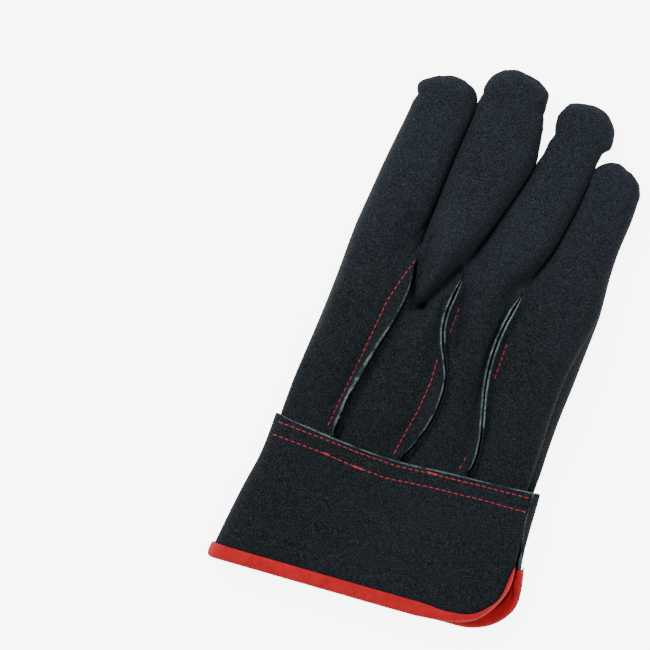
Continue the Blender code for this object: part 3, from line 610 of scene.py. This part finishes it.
def shape_tip(piece, number, borders=None):
    """Draw one fingertip of a piece to its outline, fading out towards the finger."""
    outline = TIP_OUTLINES[number]
    middle = Vector(outline.middle) * MM
    verts = []
    for vert in piece.data.vertices:
        away = Vector(vert.co.xy) - middle
        if away.length > TIP_REACH or away.y < -TIP_BELOW:
            continue
        if borders is None or on_finger(borders, number, vert.co.x, vert.co.y):
            verts.append((vert, away, bearing(away, (0.0, 0.0))))
    if not verts:
        return
    reach = np.zeros(TIP_SECTORS)
    for vert, away, angle in verts:
        sector = int(angle / (2 * math.pi) * TIP_SECTORS)
        reach[sector] = max(reach[sector], away.length)
    centres = (np.arange(TIP_SECTORS) + 0.5) / TIP_SECTORS * 2 * math.pi
    full = reach > 0
    wanted = sorted((bearing(point, outline.middle), (Vector(point) * MM - middle).length)
                    for point in outline.points)
    angles, lengths = zip(*wanted)
    for vert, away, angle in verts:
        if not angles[0] < angle < angles[-1]:
            continue
        now = np.interp(angle, centres[full], reach[full])
        goal = np.interp(angle, angles, lengths)
        edge = smoothstep(min(angle - angles[0], angles[-1] - angle) / TIP_END_FADE)
        inner = smoothstep(away.length / now / TIP_FULL_SHARE)
        grown = away * (1.0 + (goal / now - 1.0) * edge * inner)
        vert.co.x, vert.co.y = middle + grown


def press_folds(piece, node):
    """Press a back's folds into its upper side."""
    for owner, points, width, depth in FOLDS:
        if owner != node:
            continue
        for vert in piece.data.vertices:
            if vert.co.z < FOLDS_FROM:
                continue
            away = distance_to(points, vert.co.x, vert.co.y) / (width * MM)
            if away < 3.0:
                vert.co.z -= depth * MM * math.exp(-away * away)


def join_index_side(bm):
    """Join the palm and the index back, which are one leather on the real glove.

    Each corner of the palm's rim is welded to the back's corner above it, and both rims go.
    """
    tree = KDTree(len(bm.verts))
    for vert in bm.verts:
        tree.insert(vert.co, vert.index)
    tree.balance()
    bm.verts.ensure_lookup_table()
    pairs = {}
    for vert in bm.verts:
        if vert.co.x > seam_x(0, vert.co.y) - RIM_INSET or vert.co.y > INDEX_TIP_START:
            continue
        for place, index, away in tree.find_range(vert.co, RIM_APART):
            rise = place.z - vert.co.z
            if rise > RIM_RISE and math.hypot(*(place - vert.co).xy) < RIM_SHIFT:
                pairs[vert] = bm.verts[index]
    paired = set(pairs) | set(pairs.values())
    rims = [face for face in bm.faces if all(vert in paired for vert in face.verts)]
    bmesh.ops.delete(bm, geom=rims, context="FACES_ONLY")
    bmesh.ops.weld_verts(bm, targetmap=pairs)


def apply_modifiers(piece):
    """Turn a piece's modifiers into mesh."""
    bpy.ops.object.select_all(action="DESELECT")
    piece.select_set(True)
    bpy.context.view_layer.objects.active = piece
    for modifier in list(piece.modifiers):
        bpy.ops.object.modifier_apply(modifier=modifier.name)


def leather_piece(nodes, name, levels=2):
    """A smoothed copy of a leather node, or of two joined, with cut edges and an uneven nap."""
    mesh = bpy.data.meshes.new(name)
    mesh.materials.append(SUEDE)
    mesh.materials.append(CUT_EDGE)
    piece = bpy.data.objects.new(name, mesh)
    bpy.context.scene.collection.objects.link(piece)
    node = nodes[0]
    bm = bmesh.new()
    on_back = bm.verts.layers.float.new("on_back")
    for source in nodes:
        first = len(bm.verts)
        bm.from_mesh(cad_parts[source].data)
        bm.verts.ensure_lookup_table()
        for vert in bm.verts[first:]:
            vert[on_back] = float(source.endswith("_back"))
    bmesh.ops.remove_doubles(bm, verts=bm.verts, dist=MERGE_DISTANCE)
    bm.verts.index_update()
    if len(nodes) == 2:
        join_index_side(bm)
    middles = mark_cut_edges(bm, node)
    if node == "cuff":
        slope_cuff_edge(bm)
    else:
        narrow_raw_edges(bm)
    bm.to_mesh(mesh)
    bm.free()
    smooth = piece.modifiers.new("smooth", "SUBSURF")
    smooth.levels = smooth.render_levels = levels
    apply_modifiers(piece)
    if node not in ("thumb", "cuff"):
        set_fins(piece, node, middles)
        close_seam_ends(piece)
        press_folds(piece, node)
    if node != "cuff":
        for vert in piece.data.vertices:
            free = smoothstep((vert.co.z - 5 * MM) / (8 * MM))
            vert.co.z += ripple(vert.co.x, vert.co.y) * free
    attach(piece, "root")
    for source in nodes:
        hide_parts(source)
    return piece


def set_cuff_edge(piece):
    """Bring the cuff's top edge to its uneven line on the back of the hand."""
    across = [row[0] * MM for row in CUFF_EDGE]
    line = [row[1] * MM for row in CUFF_EDGE]
    for vert in piece.data.vertices:
        on_back = smoothstep((vert.co.z - 7 * MM) / (4 * MM))
        fade = smoothstep(1.0 + (vert.co.y - CUFF_LINE) / (28 * MM))
        vert.co.y += (np.interp(vert.co.x, across, line) - CUFF_LINE) * on_back * fade


def curl_cuff_corner(piece):
    """Curl the front layer's round corner down at the slit, so that its binding narrows there."""
    middle = Vector(CORNER_MIDDLE) * MM
    columns = list(zip(*CUFF_CORNER))
    for vert in piece.data.vertices:
        away = Vector(vert.co.xy) - middle
        angle = math.degrees(math.atan2(away.y, away.x))
        if vert.co.z < CURL_ABOVE or not columns[0][0] < angle < columns[0][-1]:
            continue
        inner, outer, inner_goal, outer_goal = (np.interp(angle, columns[0], column) * MM
                                                for column in columns[1:])
        start = inner - CURL_WIDTH
        if away.length < start:
            continue
        if away.length < inner:
            share = (away.length - start) / (inner - start)
            reach = away.length + (inner_goal - inner) * smoothstep(share)
            drop = CURL_DEPTHS[0] * share * share
        elif away.length < outer:
            share = (away.length - inner) / (outer - inner)
            reach = inner_goal + (outer_goal - inner_goal) * share
            drop = CURL_DEPTHS[0] + (CURL_DEPTHS[1] - CURL_DEPTHS[0]) * share
        else:
            share = smoothstep(1.0 - (away.length - outer) / (2 * MM))
            reach = away.length + (outer_goal - outer) * share
            drop = CURL_DEPTHS[1] * share
        folded = 1.0 - min(1.0, (outer_goal - inner_goal) / (outer - inner))
        vert.co.x, vert.co.y = middle + away * (reach / away.length)
        vert.co.z -= drop * folded


def make_binding():
    """A smoothed copy of the binding node in woven tape."""
    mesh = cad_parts["binding"].data.copy()
    mesh.materials.clear()
    mesh.materials.append(TAPE)
    piece = bpy.data.objects.new("cuff_binding_tape", mesh)
    bpy.context.scene.collection.objects.link(piece)
    bm = bmesh.new()
    bm.from_mesh(mesh)
    bmesh.ops.remove_doubles(bm, verts=bm.verts, dist=MERGE_DISTANCE)
    for face in bm.faces:
        face.material_index = 0
        face.smooth = True
    bmesh.ops.join_triangles(bm, faces=bm.faces, angle_face_threshold=math.radians(35),
                             angle_shape_threshold=math.radians(50))
    bm.to_mesh(mesh)
    bm.free()
    smooth = piece.modifiers.new("smooth", "SUBSURF")
    smooth.levels = smooth.render_levels = 2
    apply_modifiers(piece)
    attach(piece, "root")
    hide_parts("binding")
    return piece


palm = leather_piece(("palm", "index_back"), "palm_and_index_back", 3)
middle_back = leather_piece(("middle_back",), "middle_finger_back", 3)
ring_back = leather_piece(("ring_back",), "ring_finger_back", 3)
little_back = leather_piece(("little_back",), "little_finger_back", 3)
leather_piece(("thumb",), "folded_thumb")
finger_borders = close_fingers((palm, middle_back, ring_back, little_back))
for number, piece in enumerate((palm, middle_back, ring_back, little_back)):
    shape_tip(palm, number, finger_borders)
    if piece is not palm:
        shape_tip(piece, number)
# The palm's flat parts need fewer triangles than its raw edges do
thinning = palm.modifiers.new("fewer_triangles", "DECIMATE")
thinning.ratio = PALM_THINNING
apply_modifiers(palm)
cuff = leather_piece(("cuff",), "safety_cuff")
set_cuff_edge(cuff)
curl_cuff_corner(cuff)
binding = make_binding()
curl_cuff_corner(binding)


def surface_of(pieces):
    """One search tree over several pieces' surfaces."""
    verts, faces = [], []
    for piece in pieces:
        first = len(verts)
        verts += [v.co.copy() for v in piece.data.vertices]
        faces += [[first + k for k in p.vertices] for p in piece.data.polygons]
    return BVHTree.FromPolygons(verts, faces)


def model_stitch():
    """One lock stitch seen from outside: a plump thread whose two ends dive into the leather."""
    bpy.ops.object.select_all(action="DESELECT")
    bpy.ops.mesh.primitive_uv_sphere_add(segments=8, ring_count=6, radius=0.5)
    stitch = bpy.context.active_object
    bpy.ops.object.mode_set(mode="EDIT")
    bpy.ops.mesh.select_all(action="SELECT")
    bpy.ops.transform.rotate(value=math.pi / 2, orient_axis="Y", center_override=(0, 0, 0))
    bpy.ops.transform.resize(value=(STITCH_LENGTH, THREAD_WIDTH, THREAD_WIDTH * 0.8),
                             center_override=(0, 0, 0))
    bpy.ops.mesh.select_all(action="DESELECT")
    bpy.ops.object.mode_set(mode="OBJECT")
    for vert in stitch.data.vertices:
        vert.select = abs(vert.co.x) > STITCH_LENGTH * 0.4
    bpy.ops.object.mode_set(mode="EDIT")
    bpy.ops.transform.translate(value=(0, 0, -0.35 * THREAD_WIDTH))
    bpy.ops.object.mode_set(mode="OBJECT")
    mesh = stitch.data
    bpy.data.objects.remove(stitch)
    return mesh


STITCH = model_stitch()


def spaced(points, pitch):
    """Even places along a line of points, each with its direction."""
    points = [Vector((x, y)) * MM for x, y in points]
    steps = [0.0]
    for low, high in zip(points, points[1:]):
        steps.append(steps[-1] + (high - low).length)
    count = max(1, int(steps[-1] / pitch))
    xs, ys = [p.x for p in points], [p.y for p in points]
    places = []
    for k in range(count):
        middle = (k + 0.5) * steps[-1] / count
        at = Vector((np.interp(middle, steps, xs), np.interp(middle, steps, ys)))
        ahead = min(steps[-1], middle + 0.5 * pitch)
        behind = max(0.0, middle - 0.5 * pitch)
        run = Vector((np.interp(ahead, steps, xs) - np.interp(behind, steps, xs),
                      np.interp(ahead, steps, ys) - np.interp(behind, steps, ys)))
        places.append((at, run))
    return places


def lay_stitch(bm, surface, at, run, down, swell=1.0, turn=0.0):
    """Add one stitch where a line down, or up, through a place meets the leather."""
    start = Vector((at.x, at.y, 0.1 * down))
    spot, out = surface.ray_cast(start, Vector((0, 0, -down)))[:2]
    if spot is None:
        return
    if out.z * down < 0:
        out = -out
    along = Vector((run.x, run.y, 0.0))
    along = (along - out * along.dot(out)).normalized()
    across = out.cross(along)
    turned = Matrix((along, across, out)).transposed().to_4x4()
    rise = STITCH_RISE + STITCH_RISE_CHANGE * noise.noise(spot / STITCH_RISE_WAVE)
    turned = Matrix.Translation(spot + out * THREAD_WIDTH * rise) @ turned
    turned = turned @ Matrix.Rotation(turn, 4, "Z") @ Matrix.Scale(swell, 4)
    first = len(bm.verts)
    bm.from_mesh(STITCH)
    bm.verts.ensure_lookup_table()
    for vert in bm.verts[first:]:
        vert.co = turned @ vert.co


def stitch_row(name, rows, surface, down=1.0, tacks=()):
    """Rows of stitches as one piece, with the lumps where the sewing was started or ended."""
    bm = bmesh.new()
    for row in rows:
        for k, (at, run) in enumerate(spaced(row, STITCH_PITCH)):
            lay_stitch(bm, surface, at, run, down, turn=0.06 * math.sin(k * 2.4))
    for x, y in tacks:
        for k in range(3):
            at = Vector((x + 0.35 * (k - 1), y + 0.3 * (k % 2))) * MM
            lay_stitch(bm, surface, at, Vector((1.0, 0.0)), down, 1.15, 0.3 * (k - 1))
    mesh = bpy.data.meshes.new(name)
    bm.to_mesh(mesh)
    bm.free()
    mesh.shade_smooth()
    mesh.materials.append(THREAD)
    piece = bpy.data.objects.new(name, mesh)
    bpy.context.scene.collection.objects.link(piece)
    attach(piece, "root")
    return piece


hand_surface = surface_of((palm, middle_back, ring_back, little_back))
cuff_surface = surface_of((cuff,))
stitch_row("index_seam_stitches", (INDEX_SEAM_ROW,), hand_surface)
stitch_row("middle_seam_stitches", (MIDDLE_SEAM_ROW_TOP, MIDDLE_SEAM_ROW), hand_surface)
stitch_row("ring_seam_stitches", (RING_SEAM_ROW_TOP, RING_SEAM_ROW), hand_surface)
stitch_row("cuff_stitches", (CUFF_ROW_TOP, CUFF_ROW_LOW), cuff_surface, tacks=BACK_TACKS)
stitch_row("cuff_palm_side_stitches", (CUFF_ROW_TOP, CUFF_ROW_LOW), cuff_surface, down=-1.0)

# The photograph's camera, straight above: the picture is 292.5 mm wide at the fingers' height
CAMERA_PLACE = (-48.8 * MM, -7.9 * MM, 1.6)
CAMERA_TURN = math.radians(16)
FINGER_HEIGHT = 15 * MM
FRAME_WIDTH = 292.5 * MM
SENSOR_WIDTH = 36.0
camera_data = bpy.data.cameras.new("camera_above")
camera_data.sensor_width = SENSOR_WIDTH
camera_data.lens = SENSOR_WIDTH * (CAMERA_PLACE[2] - FINGER_HEIGHT) / FRAME_WIDTH
camera = bpy.data.objects.new("camera_above", camera_data)
camera.location = CAMERA_PLACE
camera.rotation_euler = (0.0, 0.0, CAMERA_TURN)
bpy.context.scene.collection.objects.link(camera)
bpy.context.scene.camera = camera


def studio_light(name, place, size, power):
    """A square softbox that looks at the glove."""
    data = bpy.data.lights.new(name, "AREA")
    data.shape = "SQUARE"
    data.size = size
    data.energy = power
    light = bpy.data.objects.new(name, data)
    light.location = place
    light.rotation_euler = (-Vector(place)).to_track_quat("-Z", "Y").to_euler()
    bpy.context.scene.collection.objects.link(light)


studio_light("softbox_high_left", (-0.8, 0.7, 1.1), 0.7, 30.0)
studio_light("softbox_right", (0.9, -0.3, 1.0), 1.0, 8.0)

world = bpy.data.worlds.new("white_studio")
world.use_nodes = True
world.node_tree.nodes["Background"].inputs["Color"].default_value = (1.0, 1.0, 1.0, 1.0)
world.node_tree.nodes["Background"].inputs["Strength"].default_value = 0.8
bpy.context.scene.world = world

bpy.ops.object.select_all(action="DESELECT")
bpy.ops.mesh.primitive_plane_add(size=6.0, location=(0, 0, -0.2 * MM))
floor = bpy.context.active_object
floor.name = "white_floor"
paper, paper_tree, paper_shader = new_material("matt_white_paper")
paper_shader.inputs["Base Color"].default_value = linear("#fafafa")
paper_shader.inputs["Roughness"].default_value = 0.9
paper_shader.inputs["Emission Color"].default_value = (1.0, 1.0, 1.0, 1.0)
# The paper glows white in sight, and less on what lies on it
paper_seen = add_node(paper_tree, "ShaderNodeLightPath").outputs["Is Camera Ray"]
paper_glow = add_node(paper_tree, "ShaderNodeMapRange", Value=paper_seen, To_Min=1.6, To_Max=6.5)
paper_tree.links.new(paper_glow.outputs["Result"], paper_shader.inputs["Emission Strength"])
floor.data.materials.append(paper)
